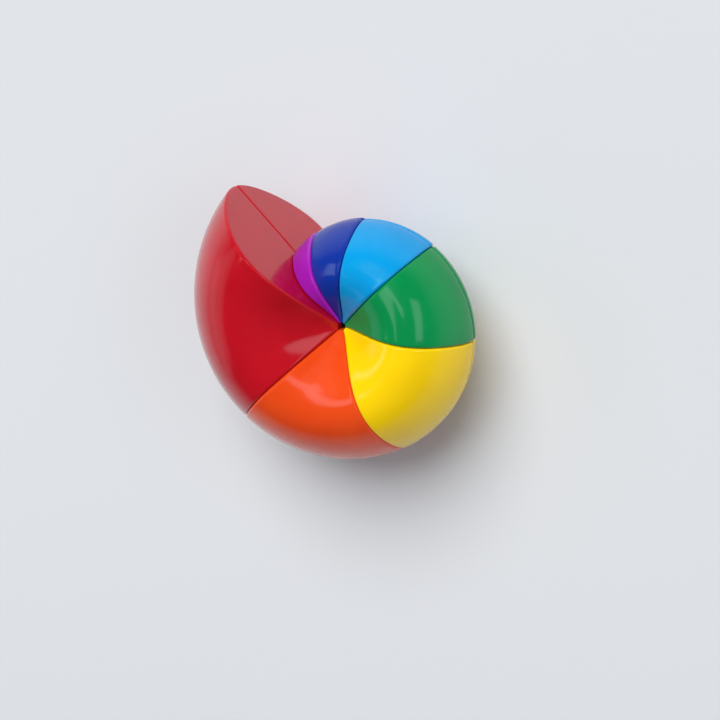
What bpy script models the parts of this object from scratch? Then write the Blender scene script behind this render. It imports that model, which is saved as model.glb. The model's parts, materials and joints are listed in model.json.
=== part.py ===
"""Spiral-shell twisty puzzle: two layers of seven hollow wedges round a split core.

The shell lies on its back layer, with its main axis along +Z. Every section through that axis has the same
outline, and the outline shrinks steadily from the mouth, once round, to the small end. The front layer is
above the middle plane and the back layer is its mirror image. One flat cut through the main axis divides
the core and the layers into a half that stays and a half that can turn over about the cut's normal.
"""

import math

import bmesh
import bpy
from mathutils import Matrix, Vector

MM = 0.001

# The spiral
MOUTH_RADIUS = 31 * MM  # half the section's width at the mouth
END_RATIO = 0.495  # the same at the small end, over that at the mouth
MOUTH_ANGLE = 135  # degrees from +X to the mouth's plane; the wedges follow anticlockwise
CUT_ANGLE = 225  # degrees from +X to the cut, which runs through the main axis
FLIP_ANGLE = CUT_ANGLE + 90  # degrees from +X to the middle of the half that turns over

# The section's outline
FULLNESS = 0.81  # height over width
SLOPE = -0.32  # leans the belly outwards
SHOULDER = -0.285  # squares the belly
PIT_HEIGHT = 10.5 * MM  # where the outline meets the main axis
PIT_SHARPNESS = 3.45  # how quickly the pit opens
CROWN = math.radians(95)  # where along the outline it is highest

# Fits and walls
HALF_GAP = 0.15 * MM  # each piece stands this far inside its own planes
CLEARANCE = 0.3 * MM
RUNNING_GAP = 0.4 * MM  # between a wedge and the parts of the core it slides round
WALL = 1.6 * MM
BASE_THICKNESS = 1.75 * MM
BASE_PLAY = 0.5 * MM  # between the base's rim and the shell's wall
NECK_REACH = 2.7 * MM  # how far the foot's neck runs on beyond the hub
OVERLAP = 1 * MM  # of solids that are joined, and of a cutter with the air

# The core, a spool whose flanges hold the feet of the wedges
COLUMN_RADIUS = 9.0 * MM
FLANGE_RADIUS = 15.6 * MM
FLANGE_TOP = 8.6 * MM
FLANGE_UNDERSIDE = 6.6 * MM
LIP_INNER_RADIUS = 14.0 * MM
LIP_BOTTOM = 4.8 * MM

# What the wedges keep clear of the core
TIP_RADIUS = 1.2 * MM  # the hole at the bottom of the pit, where their points stop short of the axis
HUB_RADIUS = FLANGE_RADIUS + RUNNING_GAP
ROOF = FLANGE_TOP + CLEARANCE
HOOK_INNER_RADIUS = COLUMN_RADIUS + RUNNING_GAP
HOOK_OUTER_RADIUS = LIP_INNER_RADIUS - RUNNING_GAP
HOOK_TOP = FLANGE_UNDERSIDE - CLEARANCE
NECK_TOP = LIP_BOTTOM - RUNNING_GAP
NECK_RADIUS = HUB_RADIUS + NECK_REACH

# The screw's axis is the turn-over axis; distances run along it from the cut
SHANK_RADIUS = 1.35 * MM
SHANK_START = -7.2 * MM
HEAD_RADIUS = 2.8 * MM
HEAD_START = 6.5 * MM
HEAD_END = 8.2 * MM
SOCKET_RADIUS = 1.1 * MM
SOCKET_DEPTH = 1.0 * MM
BORE_RADIUS = 1.8 * MM
BLIND_BORE_END = -7.6 * MM
POCKET_RADIUS = 3.3 * MM
POCKET_FLOOR = 2.3 * MM
WASHER_START = 5.7 * MM
WASHER_END = 6.2 * MM
WASHER_RADIUS = 3.0 * MM
SPRING_WIRE_RADIUS = 0.3 * MM
SPRING_RADIUS = 2.3 * MM
SPRING_START = 2.95 * MM
SPRING_END = 5.05 * MM
SPRING_TURNS = 2.25

# How finely round shapes are divided
WEDGE_STEP = 9  # degrees
STEPS_TO_CROWN = 6
STEPS_FROM_CROWN = 7
CAVITY_STEPS = 7
CORE_STEPS = 40
SCREW_STEPS = 20
SPRING_STEPS = 16  # in each turn

WEDGES = (  # name, width in degrees, colour
    ("red", 90, (0.50, 0.004, 0.015)),
    ("orange", 70, (0.86, 0.09, 0.015)),
    ("yellow", 60, (0.90, 0.60, 0.002)),
    ("green", 50, (0.002, 0.27, 0.07)),
    ("light_blue", 40, (0.002, 0.30, 0.66)),
    ("dark_blue", 30, (0.006, 0.03, 0.29)),
    ("violet", 20, (0.33, 0.015, 0.42)),
)
LAYERS = (("front", 1), ("back", -1))


def plastic(name, colour, roughness):
    material = bpy.data.materials.new(name)
    material.use_nodes = True
    shader = material.node_tree.nodes["Principled BSDF"]
    shader.inputs["Base Color"].default_value = (*colour, 1)
    shader.inputs["Roughness"].default_value = roughness
    return material


def steel(name):
    material = plastic(name, (0.55, 0.55, 0.56), 0.3)
    material.node_tree.nodes["Principled BSDF"].inputs["Metallic"].default_value = 1
    return material


def section_radius(turn):
    """Half the section's width, turn degrees round from the mouth."""
    return MOUTH_RADIUS * (1 - (1 - END_RATIO) * turn / 360)


def outline(radius, s):
    """A point of the section, as (distance from the main axis, height): s is 0 at the axis, pi at the rim."""
    c = math.cos(s)
    belly = FULLNESS * radius * math.sin(s) * (1 + SLOPE * c + SHOULDER * math.cos(2 * s))
    return Vector((radius * (1 - c), belly + PIT_HEIGHT * ((1 + c) / 2) ** PIT_SHARPNESS))


def inner_outline(radius, s):
    """The same point, moved in by the wall's thickness."""
    step = 1e-3
    along = (outline(radius, s + step) - outline(radius, s - step)).normalized()
    return outline(radius, s) + WALL * Vector((along.y, -along.x))


def where_distance_is(line, radius, distance):
    """The s at which a line of the section is this far from the main axis."""
    low, high = 0.1, 0.9 * math.pi
    for _ in range(40):
        middle = (low + high) / 2
        if line(radius, middle).x < distance:
            low = middle
        else:
            high = middle
    return low


def steps_between(start, end, count):
    return [start + (end - start) * i / count for i in range(count + 1)]


def shell_profile(turn):
    """A wedge before it is hollowed: the outer line, the step over the neck, and the room for the core."""
    radius = section_radius(turn)
    tip = math.acos(1 - TIP_RADIUS / radius)
    inner = steps_between(tip, CROWN, STEPS_TO_CROWN)
    outer = steps_between(CROWN, math.pi, STEPS_FROM_CROWN)
    points = [outline(radius, s) for s in inner + outer[1:]]
    points[-1].y = HALF_GAP
    neck_edge = NECK_RADIUS + CLEARANCE
    hub_foot = NECK_TOP + CLEARANCE
    inside = ((neck_edge, HALF_GAP), (neck_edge, hub_foot), (HUB_RADIUS, hub_foot), (HUB_RADIUS, ROOF))
    return points + [Vector(p) for p in (*inside, (TIP_RADIUS, ROOF))]


def cavity_profile(turn):
    """The hollow, which runs out through the open side that the base closes."""
    radius = section_radius(turn)
    inner = HUB_RADIUS + WALL
    start = where_distance_is(inner_outline, radius, inner)
    points = [inner_outline(radius, s) for s in steps_between(start, math.pi, CAVITY_STEPS)]
    points[0].x = inner
    return points + [Vector((points[-1].x, -OVERLAP)), Vector((inner, -OVERLAP))]


def plate_profile(turn):
    """The base's plate, inside the shell's walls."""
    rim = 2 * section_radius(turn) - WALL - BASE_PLAY
    inner = HUB_RADIUS - OVERLAP
    top = HALF_GAP + BASE_THICKNESS
    return [Vector(p) for p in ((inner, top), (rim, top), (rim, HALF_GAP), (inner, HALF_GAP))]


def foot_profile(_turn):
    """The base's foot: a neck under the flange's lip, and a hook behind it."""
    return [
        Vector(p)
        for p in (
            (HOOK_INNER_RADIUS, HOOK_TOP),
            (HOOK_OUTER_RADIUS, HOOK_TOP),
            (HOOK_OUTER_RADIUS, NECK_TOP),
            (NECK_RADIUS, NECK_TOP),
            (NECK_RADIUS, HALF_GAP),
            (HOOK_INNER_RADIUS, HALF_GAP),
        )
    ]


def object_from(name, mesh_builder, material, parent):
    mesh = bpy.data.meshes.new(name)
    mesh_builder.to_mesh(mesh)
    mesh_builder.free()
    mesh.materials.append(material)
    mesh.shade_smooth()
    mesh.set_sharp_from_angle(angle=math.radians(30))
    made = bpy.data.objects.new(name, mesh)
    bpy.context.collection.objects.link(made)
    made.parent = parent
    return made


def loft(profile, first, last, inset, side):
    """profile(turn) swept from turn first to last, its flat ends inset from the two planes of the wedge.
    The middles of the flats between two rings lie at the true distance, and the rings a little beyond it."""
    count = max(2, round((last - first) / WEDGE_STEP))
    reach = 1 / math.cos(math.radians((last - first) / count / 2))
    solid = bmesh.new()
    rings = []
    for index, turn in enumerate(steps_between(first, last, count)):
        inwards = {0: 1, count: -1}.get(index, 0)
        ring = []
        for distance, height in profile(turn):
            away = distance * reach
            angle = math.radians(MOUTH_ANGLE + turn) + inwards * math.asin(inset / away)
            place = (away * math.cos(angle), away * math.sin(angle), side * height)
            ring.append(solid.verts.new(place))
        rings.append(ring)
    bridge(solid, rings)
    solid.faces.new(rings[0])
    solid.faces.new(rings[-1])
    bmesh.ops.recalc_face_normals(solid, faces=solid.faces)
    return solid


def bridge(solid, rings):
    """Quads between each ring of points and the next."""
    for ring, following in zip(rings, rings[1:]):
        for i in range(len(ring)):
            j = (i + 1) % len(ring)
            solid.faces.new((ring[i], ring[j], following[j], following[i]))


def combine(target, operation, other):
    """A Boolean of target with other, which is then only a guide."""
    other.hide_render = True
    other.display_type = "WIRE"
    boolean = target.modifiers.new(operation.lower(), "BOOLEAN")
    boolean.operation = operation
    boolean.object = other
    boolean.solver = "EXACT"


def shell(name, first, last, side, material, parent):
    body = object_from(name, loft(shell_profile, first, last, HALF_GAP, side), material, parent)
    cavity = loft(cavity_profile, first, last, HALF_GAP + WALL, side)
    combine(body, "DIFFERENCE", object_from(f"{name}_cavity", cavity, material, parent))
    return body


def base(name, first, last, side, material, parent):
    inset = HALF_GAP + WALL + CLEARANCE
    body = object_from(name, loft(foot_profile, first, last, HALF_GAP, side), material, parent)
    plate = loft(plate_profile, first, last, inset, side)
    combine(body, "UNION", object_from(f"{name}_plate", plate, material, parent))
    return body


def turned(profile, count, matrix=Matrix()):
    """A solid of revolution about +Z: profile runs from the axis at the top to the axis at the bottom."""
    solid = bmesh.new()
    top = solid.verts.new((0, 0, profile[0][1]))
    bottom = solid.verts.new((0, 0, profile[-1][1]))
    columns = []
    for index in range(count):
        angle = 2 * math.pi * index / count
        ring = [(r * math.cos(angle), r * math.sin(angle), z) for r, z in profile[1:-1]]
        columns.append([solid.verts.new(place) for place in ring])
    for index in range(count):
        column = columns[index]
        following = columns[(index + 1) % count]
        solid.faces.new((top, column[0], following[0]))
        solid.faces.new((bottom, following[-1], column[-1]))
        for i in range(len(column) - 1):
            solid.faces.new((column[i], column[i + 1], following[i + 1], following[i]))
    bmesh.ops.transform(solid, matrix=matrix, verts=solid.verts)
    bmesh.ops.recalc_face_normals(solid, faces=solid.faces)
    return solid


def rod(start, end, radius, count=SCREW_STEPS, bore=None):
    """A cylinder along the turn-over axis; with a bore, a ring."""
    along_axis = Matrix.Rotation(math.radians(FLIP_ANGLE), 4, "Z") @ Matrix.Rotation(math.pi / 2, 4, "Y")
    if bore is None:
        return turned([(0, end), (radius, end), (radius, start), (0, start)], count, along_axis)
    solid = bmesh.new()
    section = ((bore, start), (radius, start), (radius, end), (bore, end))
    rings = []
    for index in range(count):
        angle = 2 * math.pi * index / count
        ring = [(r * math.cos(angle), r * math.sin(angle), z) for r, z in section]
        rings.append([solid.verts.new(place) for place in ring])
    bridge(solid, rings + [rings[0]])
    bmesh.ops.transform(solid, matrix=along_axis, verts=solid.verts)
    bmesh.ops.recalc_face_normals(solid, faces=solid.faces)
    return solid


def core_half(name, keep_side, material, parent):
    """Half a spool: keep_side is 1 for the half that turns over and -1 for the half that stays."""
    upper = (
        (FLANGE_RADIUS, FLANGE_TOP),
        (FLANGE_RADIUS, LIP_BOTTOM),
        (LIP_INNER_RADIUS, LIP_BOTTOM),
        (LIP_INNER_RADIUS, FLANGE_UNDERSIDE),
        (COLUMN_RADIUS, FLANGE_UNDERSIDE),
    )
    lower = [(r, -z) for r, z in reversed(upper)]
    solid = turned([(0, FLANGE_TOP), *upper, *lower, (0, -FLANGE_TOP)], CORE_STEPS)
    angle = math.radians(FLIP_ANGLE)
    normal = keep_side * Vector((math.cos(angle), math.sin(angle), 0))
    cut = bmesh.ops.bisect_plane(
        solid,
        geom=solid.verts[:] + solid.edges[:] + solid.faces[:],
        dist=1e-7,
        plane_co=normal * HALF_GAP,
        plane_no=normal,
        clear_inner=True,
    )
    edges = [item for item in cut["geom_cut"] if isinstance(item, bmesh.types.BMEdge)]
    bmesh.ops.edgeloop_fill(solid, edges=edges)
    bmesh.ops.recalc_face_normals(solid, faces=solid.faces)
    return object_from(name, solid, material, parent)


def bored(body, name, start, end, radius, parent):
    """Cut a round hole along the turn-over axis."""
    hole = object_from(name, rod(start, end, radius), body.data.materials[0], parent)
    combine(body, "DIFFERENCE", hole)


def flip_screw(material, parent):
    """A shank and a head with a hexagonal socket."""
    head = rod(HEAD_START, HEAD_END, HEAD_RADIUS)
    screw = object_from("flip_screw", head, material, parent)
    shank = rod(SHANK_START, HEAD_START + CLEARANCE, SHANK_RADIUS)
    combine(screw, "UNION", object_from("flip_screw_shank", shank, material, parent))
    socket = rod(HEAD_END - SOCKET_DEPTH, HEAD_END + OVERLAP, SOCKET_RADIUS, count=6)
    combine(screw, "DIFFERENCE", object_from("flip_screw_socket", socket, material, parent))
    return screw


def flip_spring(material, parent):
    """An open helical spring round the shank, its wire a tube with closed ends."""
    angle = math.radians(FLIP_ANGLE)
    forwards = Vector((math.cos(angle), math.sin(angle), 0))
    sideways = Vector((-math.sin(angle), math.cos(angle), 0))
    points = round(SPRING_TURNS * SPRING_STEPS)
    curve = bpy.data.curves.new("flip_spring", "CURVE")
    curve.dimensions = "3D"
    curve.bevel_depth = SPRING_WIRE_RADIUS
    curve.bevel_resolution = 1
    curve.use_fill_caps = True
    curve.materials.append(material)
    spline = curve.splines.new("POLY")
    spline.points.add(points)
    for index, point in enumerate(spline.points):
        share = index / points
        phase = 2 * math.pi * SPRING_TURNS * share
        across = SPRING_RADIUS * (math.cos(phase) * sideways + math.sin(phase) * Vector((0, 0, 1)))
        along = (SPRING_START + (SPRING_END - SPRING_START) * share) * forwards
        point.co = (*(across + along), 1)
    spring = bpy.data.objects.new("flip_spring", curve)
    bpy.context.collection.objects.link(spring)
    spring.parent = parent
    return spring


def main():
    for old in list(bpy.data.objects):
        bpy.data.objects.remove(old)

    # Every piece turns about the main axis or the turn-over axis, and both run through this empty.
    assembly = bpy.data.objects.new("assembly", None)
    bpy.context.collection.objects.link(assembly)

    shells = []
    first = 0
    for colour_name, width, colour in WEDGES:
        material = plastic(colour_name, colour, 0.15)
        last = first + width
        for layer, side in LAYERS:
            name = f"{colour_name}_{layer}"
            shells.append(shell(f"{name}_shell", first, last, side, material, assembly))
            base(f"{name}_base", first, last, side, material, assembly)
        first = last

    black = plastic("core_black", (0.02, 0.02, 0.022), 0.45)
    fixed = core_half("core_half_fixed", -1, black, assembly)
    bored(fixed, "thread_bore", BLIND_BORE_END, OVERLAP, SHANK_RADIUS + CLEARANCE, assembly)
    turning = core_half("core_half_turning", 1, black, assembly)
    bored(turning, "shank_bore", -OVERLAP, POCKET_FLOOR + OVERLAP, BORE_RADIUS, assembly)
    bored(turning, "spring_pocket", POCKET_FLOOR, COLUMN_RADIUS + OVERLAP, POCKET_RADIUS, assembly)

    metal = steel("steel")
    flip_screw(metal, assembly)
    flip_spring(metal, assembly)
    washer = rod(WASHER_START, WASHER_END, WASHER_RADIUS, bore=SHANK_RADIUS + CLEARANCE)
    object_from("flip_washer", washer, metal, assembly)

    # The object's origin is the middle of the underside of its box.
    corners = [vertex.co for body in shells for vertex in body.data.vertices]
    low = Vector([min(corner[i] for corner in corners) for i in range(3)])
    high = Vector([max(corner[i] for corner in corners) for i in range(3)])
    assembly.location = (-(low.x + high.x) / 2, -(low.y + high.y) / 2, -low.z)


main()
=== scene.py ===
"""The finished look of the spiral-shell twisty puzzle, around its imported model.

The shell and the base of each wedge are swept again from the design's formula, finely and with
rounded edges, and stand for the coarse solids. The core, its screw, spring and washer keep their
solids and get their finish here. Lengths are in metres and angles in degrees, unless a name or a
comment says otherwise.
"""

import json
import math

import bmesh
import bpy
from mathutils import Matrix, Vector


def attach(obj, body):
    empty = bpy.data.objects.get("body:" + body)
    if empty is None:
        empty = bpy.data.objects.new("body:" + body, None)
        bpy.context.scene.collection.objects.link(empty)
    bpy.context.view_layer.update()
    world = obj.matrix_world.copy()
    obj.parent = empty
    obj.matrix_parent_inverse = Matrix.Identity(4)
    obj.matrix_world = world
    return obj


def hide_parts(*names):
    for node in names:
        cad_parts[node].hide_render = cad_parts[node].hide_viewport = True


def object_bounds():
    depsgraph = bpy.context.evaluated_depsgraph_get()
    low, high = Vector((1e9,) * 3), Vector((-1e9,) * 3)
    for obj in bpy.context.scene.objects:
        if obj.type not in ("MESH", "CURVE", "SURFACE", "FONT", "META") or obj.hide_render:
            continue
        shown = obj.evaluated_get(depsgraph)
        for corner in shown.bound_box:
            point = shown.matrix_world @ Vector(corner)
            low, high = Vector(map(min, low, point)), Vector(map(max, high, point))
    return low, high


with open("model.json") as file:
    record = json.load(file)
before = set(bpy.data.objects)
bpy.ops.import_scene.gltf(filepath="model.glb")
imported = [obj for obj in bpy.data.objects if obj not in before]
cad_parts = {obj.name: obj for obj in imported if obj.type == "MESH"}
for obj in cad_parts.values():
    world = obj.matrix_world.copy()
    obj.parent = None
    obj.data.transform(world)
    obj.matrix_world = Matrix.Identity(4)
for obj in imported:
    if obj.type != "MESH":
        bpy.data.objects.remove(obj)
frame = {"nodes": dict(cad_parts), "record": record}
cad_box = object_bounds()

MM = 0.001
joints = {joint["name"]: joint for joint in frame["record"]["behaviour"]["joints"]}
CENTRE = Vector(joints["layer_twist"]["pos_m"])  # where the main axis meets the middle plane

# The spiral and its section, as in the design
MOUTH_RADIUS = 31 * MM  # half the section's width at the mouth
END_RATIO = 0.495  # the same at the small end, over that at the mouth
MOUTH_ANGLE = 135  # from +X to the mouth's plane; the wedges follow anticlockwise
FULLNESS = 0.81  # height over width
SLOPE = -0.32  # leans the belly outwards
SHOULDER = -0.285  # squares the belly
PIT_HEIGHT = 10.5 * MM  # where the outline meets the main axis
PIT_SHARPNESS = 3.45  # how quickly the pit opens
WEDGES = (  # name, width in degrees, body of its front shell, body of its back shell
    ("red", 90, "front_staying", "back_staying"),
    ("orange", 70, "front_turning_over", "back_turning_over"),
    ("yellow", 60, "front_turning_over", "back_turning_over"),
    ("green", 50, "front_turning_over", "back_turning_over"),
    ("light_blue", 40, "front_staying", "back_staying"),
    ("dark_blue", 30, "front_staying", "back_staying"),
    ("violet", 20, "front_staying", "back_staying"),
)

# How far each piece stands inside its own planes. It is less than in the design, because the real
# pieces all but touch.
HALF_GAP = 0.03 * MM

# Other fits and walls, as in the design
CLEARANCE = 0.3 * MM
RUNNING_GAP = 0.4 * MM  # between a wedge and the parts of the core it slides round
WALL = 1.6 * MM
BASE_THICKNESS = 1.75 * MM
BASE_PLAY = 0.5 * MM  # between the base's rim and the shell's wall
NECK_REACH = 2.7 * MM  # how far the foot's neck runs on beyond the hub
OVERLAP = 1 * MM  # of solids that are joined, and of a cutter with the air

# The core's flanges, as in the design, and what the wedges keep clear of them
COLUMN_RADIUS = 9.0 * MM
FLANGE_RADIUS = 15.6 * MM
FLANGE_TOP = 8.6 * MM
FLANGE_UNDERSIDE = 6.6 * MM
LIP_INNER_RADIUS = 14.0 * MM
LIP_BOTTOM = 4.8 * MM
TIP_RADIUS = 1.2 * MM  # the hole at the bottom of the pit
HUB_RADIUS = FLANGE_RADIUS + RUNNING_GAP
ROOF = FLANGE_TOP + CLEARANCE
HOOK_INNER_RADIUS = COLUMN_RADIUS + RUNNING_GAP
HOOK_OUTER_RADIUS = LIP_INNER_RADIUS - RUNNING_GAP
HOOK_TOP = FLANGE_UNDERSIDE - CLEARANCE
NECK_TOP = LIP_BOTTOM - RUNNING_GAP
NECK_RADIUS = HUB_RADIUS + NECK_REACH

# The finish of the edges, and how finely round shapes are divided
EDGE_RADIUS = 1.0 * MM
RIM_RADIUS = 1.2 * MM
TIP_EDGE_RADIUS = 0.4 * MM
EDGE_SHARE = 0.8  # of the room between a wedge's end and its middle, the most that an edge takes
EDGE_STEPS = 6
OUTLINE_STEPS = 60
CAVITY_STEPS = 16
WEDGE_STEP = 2.5
CAVITY_WEDGE_STEP = 5
SHARP_ANGLE = 40  # an edge that turns by more than this is shaded sharp

# Places along the outline, in radians from the axis, between which crossings are looked for
NEAR_AXIS = 0.1
PAST_CROWN = 2.0
NEAR_RIM = 0.9 * math.pi
HALVINGS = 40

# The view: how the object is tilted to it about the view's right, up and line of sight, and where
# the puzzle's centre stands from the camera
VIEW_TILTS = ((15.24, "X"), (-20.01, "Y"), (-0.58, "Z"))
PUZZLE_IN_VIEW = (-2.0 * MM, 14.2 * MM, -427 * MM)
LENS_MM = 62.05
SENSOR_MM = 36

# The stage
FLOOR_SIZE = 40
FLOOR_DROP = 0.2 * MM  # below the underside
ROOM_COLOUR = (0.93, 0.96, 1.0)
ROOM_LOW = 0.55  # the room's light at the horizon
ROOM_HIGH = 0.1  # the same overhead
ROOM_FADE = 0.35  # the height, as a sine, by which it has faded
LAMP_COLOUR = (0.8, 0.93, 1.0)
LAMP_DISTANCE = 0.6


# The shapes


def section_radius(turn):
    return MOUTH_RADIUS * (1 - (1 - END_RATIO) * turn / 360)


def outline(radius, s):
    """A point of the section, as (distance from the main axis, height): s, in radians, is 0 at the
    axis and pi at the rim."""
    c = math.cos(s)
    belly = FULLNESS * radius * math.sin(s) * (1 + SLOPE * c + SHOULDER * math.cos(2 * s))
    return Vector((radius * (1 - c), belly + PIT_HEIGHT * ((1 + c) / 2) ** PIT_SHARPNESS))


def inner_outline(radius, s):
    step = 1e-3
    along = (outline(radius, s + step) - outline(radius, s - step)).normalized()
    return outline(radius, s) + WALL * Vector((along.y, -along.x))


def crossing(value, low, high):
    """Where value, which is negative at low and positive at high, is zero."""
    for _ in range(HALVINGS):
        middle = (low + high) / 2
        if value(middle) < 0:
            low = middle
        else:
            high = middle
    return low


def steps_between(start, end, count):
    return [start + (end - start) * i / count for i in range(count + 1)]


def bezier(start, control, end, t):
    return start * (1 - t) ** 2 + control * 2 * t * (1 - t) + end * t**2


def shell_profile(turn):
    """The closed section of a wedge before it is hollowed, its rim and its tip rounded."""
    radius = section_radius(turn)
    tip = outline(radius, math.acos(1 - TIP_RADIUS / radius))
    after_tip = math.acos(1 - (TIP_RADIUS + TIP_EDGE_RADIUS) / radius)
    rim_top = HALF_GAP + RIM_RADIUS
    before_rim = crossing(lambda s: rim_top - outline(radius, s).y, PAST_CROWN, math.pi)
    line = [outline(radius, s) for s in steps_between(after_tip, before_rim, OUTLINE_STEPS)]

    wall_top = tip - Vector((0, TIP_EDGE_RADIUS))
    rounded_tip = [bezier(wall_top, tip, line[0], i / EDGE_STEPS) for i in range(EDGE_STEPS)]

    rim_middle = Vector((line[-1].x - RIM_RADIUS, line[-1].y))
    turns = steps_between(0, math.pi / 2, EDGE_STEPS)[1:]
    rounded_rim = [rim_middle + RIM_RADIUS * Vector((math.cos(a), -math.sin(a))) for a in turns]

    neck_edge = NECK_RADIUS + CLEARANCE
    hub_foot = NECK_TOP + CLEARANCE
    inside = (
        (neck_edge, HALF_GAP),
        (neck_edge, hub_foot),
        (HUB_RADIUS, hub_foot),
        (HUB_RADIUS, ROOF),
        (TIP_RADIUS, ROOF),
    )
    return rounded_tip + line + rounded_rim + [Vector(p) for p in inside]


def cavity_profile(turn):
    radius = section_radius(turn)
    inner = HUB_RADIUS + WALL
    start = crossing(lambda s: inner_outline(radius, s).x - inner, NEAR_AXIS, NEAR_RIM)
    points = [inner_outline(radius, s) for s in steps_between(start, math.pi, CAVITY_STEPS)]
    points[0].x = inner
    return points + [Vector((points[-1].x, -OVERLAP)), Vector((inner, -OVERLAP))]


def plate_profile(turn):
    rim = 2 * section_radius(turn) - WALL - BASE_PLAY
    inner = HUB_RADIUS - OVERLAP
    top = HALF_GAP + BASE_THICKNESS
    return [Vector(p) for p in ((inner, top), (rim, top), (rim, HALF_GAP), (inner, HALF_GAP))]


def foot_profile(_turn):
    return [
        Vector(p)
        for p in (
            (HOOK_INNER_RADIUS, HOOK_TOP),
            (HOOK_OUTER_RADIUS, HOOK_TOP),
            (HOOK_OUTER_RADIUS, NECK_TOP),
            (NECK_RADIUS, NECK_TOP),
            (NECK_RADIUS, HALF_GAP),
            (HOOK_INNER_RADIUS, HALF_GAP),
        )
    ]


def moved_in(points, distances):
    """A closed line, each point moved to its right, which is inwards, by its own distance."""
    moved = []
    for i, point in enumerate(points):
        before = (point - points[i - 1]).normalized()
        after = (points[(i + 1) % len(points)] - point).normalized()
        across = Vector((before.y + after.y, -before.x - after.x))
        moved.append(point + across * distances[i] / (1 + before.dot(after)))
    return moved


def solid_through(rings):
    """A closed solid through rings of (point of the section, turn)."""
    solid = bmesh.new()
    loops = []
    for ring in rings:
        angles = [math.radians(MOUTH_ANGLE + turn) for _, turn in ring]
        places = [(p.x * math.cos(a), p.x * math.sin(a), p.y) for (p, _), a in zip(ring, angles)]
        loops.append([solid.verts.new(place) for place in places])
    for loop, following in zip(loops, loops[1:]):
        for i in range(len(loop)):
            j = (i + 1) % len(loop)
            solid.faces.new((loop[i], loop[j], following[j], following[i]))
    solid.faces.new(loops[0])
    solid.faces.new(loops[-1])
    bmesh.ops.recalc_face_normals(solid, faces=solid.faces)
    return solid


def sweep(profile, first, last, inset, edge, step):
    """profile(turn) swept from turn first to last. Its flat ends lie inset from the wedge's planes
    and are rounded off by edge, or by less where the wedge is narrow."""
    half_width = math.sin(math.radians((last - first) / 2))

    def edge_at(distance):
        return max(0, min(edge, EDGE_SHARE * (distance * half_width - inset)))

    def end_ring(turn, inwards, tilt):
        """tilt, in radians, is pi/2 on the flat end and 0 where the edge has run out."""
        points = profile(turn)
        edges = [edge_at(point.x) for point in points]
        pulled = moved_in(points, [size * (1 - math.cos(tilt)) for size in edges])
        ring = []
        for point, size in zip(pulled, edges):
            depth = inset + size * (1 - math.sin(tilt))
            ring.append((point, turn + inwards * math.degrees(math.asin(depth / point.x))))
        return ring

    tilts = steps_between(math.pi / 2, 0, EDGE_STEPS) if edge else [math.pi / 2]
    start = [end_ring(first, 1, tilt) for tilt in tilts]
    finish = [end_ring(last, -1, tilt) for tilt in reversed(tilts)]
    count = max(2, round((last - first) / step))
    between = []
    for share in steps_between(0, 1, count)[1:-1]:
        points = profile(first + (last - first) * share)
        turns = [a[1] * (1 - share) + b[1] * share for a, b in zip(start[-1], finish[0])]
        between.append(list(zip(points, turns)))
    return solid_through(start + between + finish)


def object_from(name, solid):
    mesh = bpy.data.meshes.new(name)
    solid.to_mesh(mesh)
    solid.free()
    made = bpy.data.objects.new(name, mesh)
    bpy.context.collection.objects.link(made)
    return made


def combined(body, operation, other):
    """Give body the outcome of an exact Boolean with other, which is used up."""
    boolean = body.modifiers.new("combined", "BOOLEAN")
    boolean.operation = operation
    boolean.object = other
    boolean.solver = "EXACT"
    evaluated = body.evaluated_get(bpy.context.evaluated_depsgraph_get())
    mesh = bpy.data.meshes.new_from_object(evaluated)
    body.modifiers.clear()
    body.data = mesh
    bpy.data.objects.remove(other)


def mirrored(body, name):
    """A copy of body on the other side of the middle plane."""
    solid = bmesh.new()
    solid.from_mesh(body.data)
    bmesh.ops.transform(solid, matrix=Matrix.Diagonal((1, 1, -1, 1)), verts=solid.verts)
    bmesh.ops.reverse_faces(solid, faces=solid.faces)
    return object_from(name, solid)


def finished(body, material, rides_on, replaced):
    """Give the piece its material, smooth the shading of round faces, place it on its body and
    hide the part that it stands for.
    """
    body.data.materials.clear()
    body.data.materials.append(material)
    body.data.shade_smooth()
    body.data.set_sharp_from_angle(angle=math.radians(SHARP_ANGLE))
    weighted = body.modifiers.new("even shading", "WEIGHTED_NORMAL")
    weighted.keep_sharp = True
    body.location = CENTRE
    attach(body, rides_on)
    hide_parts(replaced)


# The materials


def srgb(red, green, blue):
    """A colour given as 0 to 255, as a linear one."""

    def linear(value):
        value /= 255
        return value / 12.92 if value <= 0.04045 else ((value + 0.055) / 1.055) ** 2.4

    return (linear(red), linear(green), linear(blue), 1)


def node(tree, kind, **values):
    """A new node. Each value goes to the input of that name, or else to the setting."""
    made = tree.nodes.new(kind)
    for name, value in values.items():
        if name in made.inputs:
            made.inputs[name].default_value = value
        else:
            setattr(made, name, value)
    return made


def material_named(name):
    """A new material, with its node tree and its shader."""
    material = bpy.data.materials.new(name)
    material.use_nodes = True
    return material, material.node_tree, material.node_tree.nodes["Principled BSDF"]


def noise(tree, **values):
    """Noise from 0 to 1, fixed to the piece."""
    place = node(tree, "ShaderNodeTexCoord").outputs["Object"]
    pattern = node(tree, "ShaderNodeTexNoise", **values)
    tree.links.new(place, pattern.inputs["Vector"])
    return pattern.outputs["Fac"]


def coloured(tree, shader, pattern, low, high):
    """Colour by a pattern: low and high are each a value of it and the colour there."""
    ramp = node(tree, "ShaderNodeValToRGB")
    for element, (position, colour) in zip(ramp.color_ramp.elements, (low, high)):
        element.position = position
        element.color = colour
    tree.links.new(pattern, ramp.inputs["Fac"])
    tree.links.new(ramp.outputs["Color"], shader.inputs["Base Color"])


def roughened(tree, shader, pattern, least, most):
    """Roughness by a pattern."""
    spread = node(tree, "ShaderNodeMapRange", **{"To Min": least, "To Max": most})
    tree.links.new(pattern, spread.inputs["Value"])
    tree.links.new(spread.outputs["Result"], shader.inputs["Roughness"])


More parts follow.
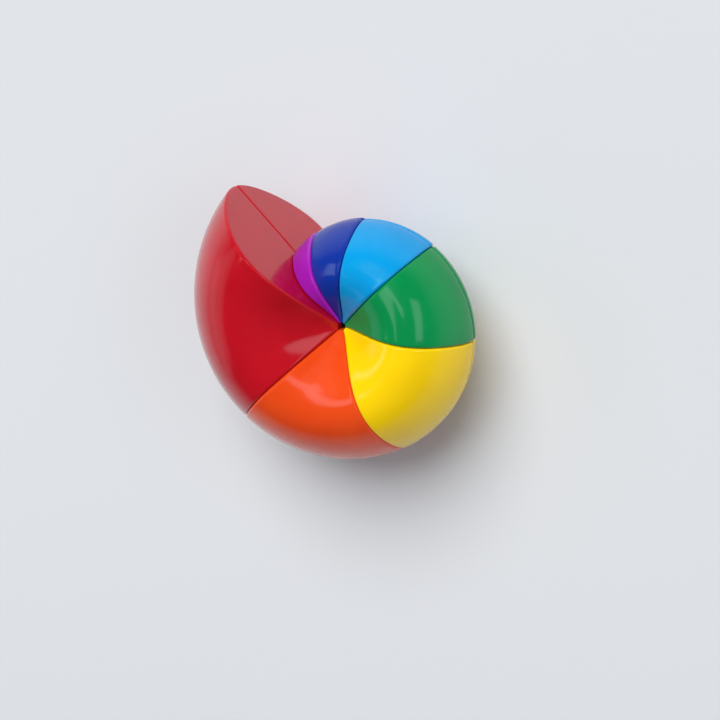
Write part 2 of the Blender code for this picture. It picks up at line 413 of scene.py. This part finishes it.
def moulded_plastic(name, light, deep, roughness):
    """Plastic moulded in colour: faint flow marks in the colour, fine scuffs in the gloss, and the
    slight unevenness of a moulded surface."""
    material, tree, shader = material_named(name)
    shader.inputs["IOR"].default_value = 1.48
    flow = noise(tree, Scale=45.0, Detail=3.0, Distortion=0.8)
    coloured(tree, shader, flow, (0.3, deep), (0.7, light))
    scuffs = noise(tree, Scale=420.0, Detail=4.0, Roughness=0.7)
    roughened(tree, shader, scuffs, roughness - 0.04, roughness + 0.06)
    ripple = noise(tree, Scale=70.0, Detail=2.0)
    bump = node(tree, "ShaderNodeBump", Strength=0.15, Distance=0.5 * MM)
    tree.links.new(ripple, bump.inputs["Height"])
    tree.links.new(bump.outputs["Normal"], shader.inputs["Normal"])
    return material


def plated_steel():
    """Steel with the fine grain of plating in its colour and its gloss."""
    material, tree, shader = material_named("plated steel")
    shader.inputs["Metallic"].default_value = 1
    grain = noise(tree, Scale=900.0, Detail=3.0)
    coloured(tree, shader, grain, (0, srgb(150, 151, 154)), (1, srgb(205, 205, 208)))
    roughened(tree, shader, grain, 0.2, 0.4)
    return material


POLISHED = 0.12  # roughness
SATIN = 0.4
PLASTICS = {  # slot: lighter and deeper tone of the moulded colour
    "red": (srgb(196, 12, 32), srgb(184, 8, 26)),
    "orange": (srgb(236, 76, 22), srgb(228, 68, 17)),
    "yellow": (srgb(255, 212, 3), srgb(249, 203, 0)),
    "green": (srgb(3, 141, 74), srgb(0, 132, 67)),
    "light_blue": (srgb(4, 152, 216), srgb(0, 143, 207)),
    "dark_blue": (srgb(12, 50, 154), srgb(8, 44, 145)),
    "violet": (srgb(164, 32, 182), srgb(154, 26, 172)),
}
plastics = {name: moulded_plastic(name, *tones, POLISHED) for name, tones in PLASTICS.items()}
black = moulded_plastic("core black", srgb(34, 34, 36), srgb(24, 24, 26), SATIN)
steel = plated_steel()


# The object


def wedge(name, first, last, front_body, back_body):
    """Both layers' shell and base of one colour, between two turns from the mouth."""
    skin = sweep(shell_profile, first, last, HALF_GAP, EDGE_RADIUS, WEDGE_STEP)
    shell = object_from(f"{name}_front_skin", skin)
    hollow = sweep(cavity_profile, first, last, HALF_GAP + WALL, 0, CAVITY_WEDGE_STEP)
    combined(shell, "DIFFERENCE", object_from("hollow", hollow))

    foot = sweep(foot_profile, first, last, HALF_GAP, 0, WEDGE_STEP)
    base = object_from(f"{name}_front_closer", foot)
    plate = sweep(plate_profile, first, last, HALF_GAP + WALL + CLEARANCE, 0, WEDGE_STEP)
    combined(base, "UNION", object_from("plate", plate))

    back_shell = mirrored(shell, f"{name}_back_skin")
    back_base = mirrored(base, f"{name}_back_closer")
    material = plastics[name]
    finished(shell, material, front_body, f"{name}_front_shell")
    finished(base, material, front_body, f"{name}_front_base")
    finished(back_shell, material, back_body, f"{name}_back_shell")
    finished(back_base, material, back_body, f"{name}_back_base")


first_turn = 0
for wedge_name, width, front_body, back_body in WEDGES:
    wedge(wedge_name, first_turn, first_turn + width, front_body, back_body)
    first_turn += width

for node_name, material in (
    ("core_half_fixed", black),
    ("core_half_turning", black),
    ("flip_screw", steel),
    ("flip_spring", steel),
    ("flip_washer", steel),
):
    frame["nodes"][node_name].data.materials.clear()
    frame["nodes"][node_name].data.materials.append(material)


# The stage


def floor():
    height = cad_box[0][2] - FLOOR_DROP
    bpy.ops.mesh.primitive_plane_add(size=FLOOR_SIZE, location=(0, 0, height))
    made = bpy.context.object
    made.name = "floor"
    material, _, shader = material_named("floor")
    shader.inputs["Base Color"].default_value = srgb(222, 223, 226)
    shader.inputs["Roughness"].default_value = 0.55
    made.data.materials.append(material)


def view_axes():
    """Turns the view's right, up and towards-the-viewer into the frame's axes. The view is steeply
    down."""
    turn = Matrix.Identity(3)
    for degrees, axis in VIEW_TILTS:
        turn = turn @ Matrix.Rotation(math.radians(degrees), 3, axis)
    return turn.transposed()


def camera():
    data = bpy.data.cameras.new("camera")
    data.lens = LENS_MM
    data.sensor_width = SENSOR_MM
    made = bpy.data.objects.new("camera", data)
    bpy.context.collection.objects.link(made)
    axes = view_axes()
    place = CENTRE - axes @ Vector(PUZZLE_IN_VIEW)
    made.matrix_world = Matrix.Translation(place) @ axes.to_4x4()
    bpy.context.scene.camera = made


def facing(direction, roll):
    """A turn, in the frame's axes, of a light that shines from direction, which is in the view's
    axes. Its width lies across the view, or roll degrees from that, anticlockwise."""
    out = Vector(direction).normalized()
    across = Vector((0, 1, 0)).cross(out).normalized()
    rolled = Matrix.Rotation(math.radians(roll), 3, "Z")
    return view_axes() @ Matrix((across, out.cross(across), out)).transposed() @ rolled


def lit_by(data, direction, mirrored_in_gloss, roll=0):
    made = bpy.data.objects.new(data.name, data)
    bpy.context.collection.objects.link(made)
    turn = facing(direction, roll)
    place = CENTRE + turn.col[2] * LAMP_DISTANCE
    made.matrix_world = Matrix.Translation(place) @ turn.to_4x4()
    made.visible_camera = False
    made.visible_glossy = mirrored_in_gloss


def soft_light(name, direction, spread, strength):
    """Light from a broad part of the room, spread in degrees, the same all over the floor."""
    data = bpy.data.lights.new(name, "SUN")
    data.angle = math.radians(spread)
    data.energy = strength
    lit_by(data, direction, mirrored_in_gloss=False)


def strip(name, direction, size, brightness, roll=0):
    """A rectangular light near the puzzle, of which the gloss shows a reflection."""
    data = bpy.data.lights.new(name, "AREA")
    data.shape = "RECTANGLE"
    data.size, data.size_y = size
    data.energy = brightness * math.pi * size[0] * size[1]
    data.color = LAMP_COLOUR
    lit_by(data, direction, mirrored_in_gloss=True, roll=roll)


def surroundings():
    """The room's light, which fades from the horizon upwards."""
    world = bpy.data.worlds.new("world")
    world.use_nodes = True
    tree = world.node_tree
    background = tree.nodes["Background"]
    background.inputs["Color"].default_value = (*ROOM_COLOUR, 1)
    direction = node(tree, "ShaderNodeTexCoord").outputs["Generated"]
    height = node(tree, "ShaderNodeSeparateXYZ")
    tree.links.new(direction, height.inputs["Vector"])
    limits = {"From Min": 0, "From Max": ROOM_FADE, "To Min": ROOM_LOW, "To Max": ROOM_HIGH}
    strength = node(tree, "ShaderNodeMapRange", interpolation_type="SMOOTHSTEP", **limits)
    tree.links.new(height.outputs["Z"], strength.inputs["Value"])
    tree.links.new(strength.outputs["Result"], background.inputs["Strength"])
    bpy.context.scene.world = world
    bpy.context.scene.view_settings.view_transform = "Standard"


floor()
camera()
surroundings()

# Each light's direction is given along the view's right, up and towards the viewer
BESIDE_THE_MOUTH = (-0.96, -0.2, -0.02)
soft_light("key", (-0.3, 0.42, 0.86), spread=40, strength=2.85)
soft_light("fill", (0.3, -0.3, 0.9), spread=80, strength=0.35)
strip("right strip", (0.46, 0.04, 0.87), size=(0.15, 0.33), brightness=1.7)
strip("left strip", (-0.48, -0.01, 0.88), size=(0.11, 0.29), brightness=1.9, roll=-44)
strip("upper strip", (-0.22, 0.17, 0.96), size=(0.1, 0.3), brightness=1.8, roll=48)
strip("far left strip", (-0.87, 0.1, 0.45), size=(0.08, 0.35), brightness=1.8)
strip("left card", BESIDE_THE_MOUTH, size=(0.2, 0.35), brightness=0.6)
strip("left card surround", BESIDE_THE_MOUTH, size=(0.34, 0.45), brightness=0.35)

bpy.context.view_layer.update()
